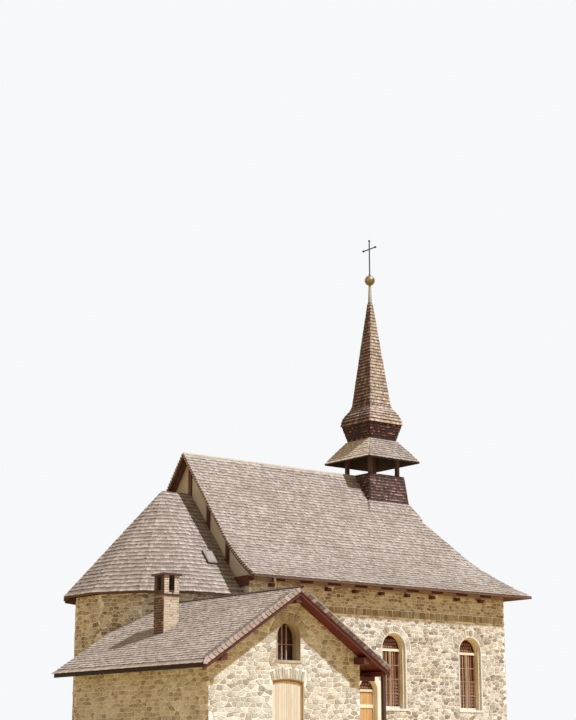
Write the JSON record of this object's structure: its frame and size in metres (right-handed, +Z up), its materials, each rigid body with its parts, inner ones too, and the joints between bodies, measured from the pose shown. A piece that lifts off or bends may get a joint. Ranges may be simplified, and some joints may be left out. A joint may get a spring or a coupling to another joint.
{
  "type": "small chapel",
  "caption": "Small stone chapel with steep shingled roofs, ridge turret and spire, polygonal apse and a low gabled annex with a double door.",
  "frame": {"origin": "on the ground under the middle of the nave's floor", "axes": "+Z up, +X along the nave's ridge from the chancel to the turret and entrance end, -Y towards the annex"},
  "size_m": [19.16, 14.25, 20.95],
  "materials": {
    "masonry": "rough coursed rubble with lime mortar",
    "plaster": "cream lime plaster",
    "red_brown_timber": "red-brown stained timber",
    "grey_shingles": "weathered split shingles",
    "brown_shingles": "dark brown stained shingles and boards",
    "white_pipe": "white paint",
    "hatch_metal": "dark sheet metal",
    "pale_brick": "pale cream brick",
    "dark_slab": "dark brown stone slab",
    "cream_wood": "cream paint",
    "larch_planks": "oiled larch planks",
    "dark_wood": "dark frame and glass",
    "dark_glass": "dark leaded panes",
    "pale_metal": "pale weathered sheet metal",
    "gilded_metal": "gilded sheet metal",
    "wrought_iron": "dark wrought iron"
  },
  "bodies": {
    "building": {"stone_floor": "masonry", "nave_front_wall": "masonry", "nave_back_wall": "masonry", "entrance_wall": "masonry", "chancel_piers": "masonry", "gable_panels": "plaster", "gable_frame": "red_brown_timber", "nave_eave_timbers": "red_brown_timber", "nave_roof_front": "grey_shingles", "nave_roof_back": "grey_shingles", "nave_roof_hip": "grey_shingles", "nave_ridge_boards": "grey_shingles", "nave_verge_boards": "red_brown_timber", "downpipe": "white_pipe", "chancel_front_wall": "masonry", "chancel_back_wall": "masonry", "apse_walls": "masonry", "chancel_wall_plates": "red_brown_timber", "chancel_roof_front": "grey_shingles", "chancel_roof_back": "grey_shingles", "apse_roof": "grey_shingles", "roof_hatch": "hatch_metal", "annex_floor": "masonry", "annex_front_wall_left": "masonry", "annex_front_wall_right": "masonry", "annex_gable": "masonry", "annex_left_wall": "masonry", "annex_right_wall": "masonry", "annex_rear_wall": "masonry", "annex_wall_plates": "red_brown_timber", "annex_roof_left": "grey_shingles", "annex_roof_right": "grey_shingles", "annex_barge_boards": "red_brown_timber", "annex_purlins": "red_brown_timber", "porch_post": "red_brown_timber", "chimney_stack": "pale_brick", "chimney_head": "pale_brick", "chimney_slabs": "dark_slab", "annex_door_frame": "cream_wood", "door_pins": "wrought_iron", "annex_window": "dark_wood", "window_frames": "cream_wood", "window_glass": "dark_glass", "doorway_bands": "plaster", "nave_doors": "larch_planks", "turret_box": "brown_shingles", "turret_apron": "grey_shingles", "belfry_frame": "red_brown_timber", "skirt_roof": "grey_shingles", "drum": "brown_shingles", "spire": "grey_shingles", "spire_neck": "pale_metal", "gilded_ball": "gilded_metal", "cross": "wrought_iron"},
    "left_leaf": {"annex_door_left": "larch_planks", "door_ironwork_left": "wrought_iron"},
    "right_leaf": {"annex_door_right": "larch_planks", "door_ironwork_right": "wrought_iron"}
  },
  "joints": [
    {"name": "left_leaf_hinge", "type": "hinge", "parent": "building", "child": "left_leaf", "pos_m": [-9.32, -9.099, 0.2], "axis": [0, 0, 1], "range_deg": [0, 90]},
    {"name": "right_leaf_hinge", "type": "hinge", "parent": "building", "child": "right_leaf", "pos_m": [-8.24, -9.099, 0.2], "axis": [0, 0, -1], "range_deg": [0, 90]}
  ]
}
